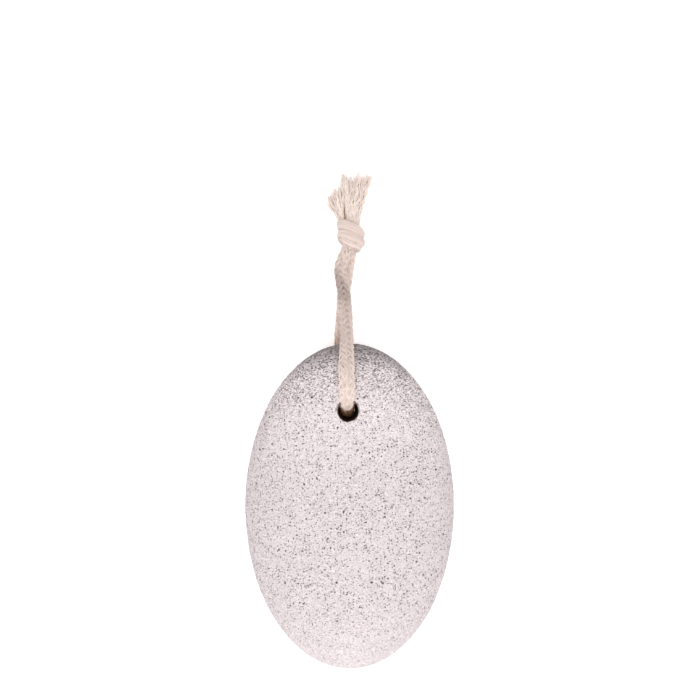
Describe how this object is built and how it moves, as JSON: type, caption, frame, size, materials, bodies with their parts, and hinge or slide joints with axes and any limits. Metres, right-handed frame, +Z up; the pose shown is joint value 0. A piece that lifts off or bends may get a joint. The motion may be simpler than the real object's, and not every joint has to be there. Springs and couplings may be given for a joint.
{
  "type": "pumice stone",
  "caption": "Oval foot pumice stone with a drilled hole and a knotted braided cotton hanging cord with frayed ends, lying flat",
  "frame": {"origin": "under the middle of the stone, on the surface that it rests on", "axes": "+Z up out of the stone's upper face, +Y along the stone's length towards its cord hole, the knot and the frayed ends"},
  "size_m": [0.0642, 0.1537, 0.035],
  "materials": {
    "pumice": "ground, unpolished pale grey pumice with open pores, rough",
    "cotton_cord": "unbleached cream cotton, fine braid",
    "frayed_cotton": "unbleached cream cotton yarns, unravelled and cut"
  },
  "bodies": {
    "root": {"pumice_stone": "pumice", "cord_loop": "cotton_cord", "cord_knot": "cotton_cord", "tail_short": "frayed_cotton", "tail_long": "frayed_cotton"}
  },
  "joints": []
}
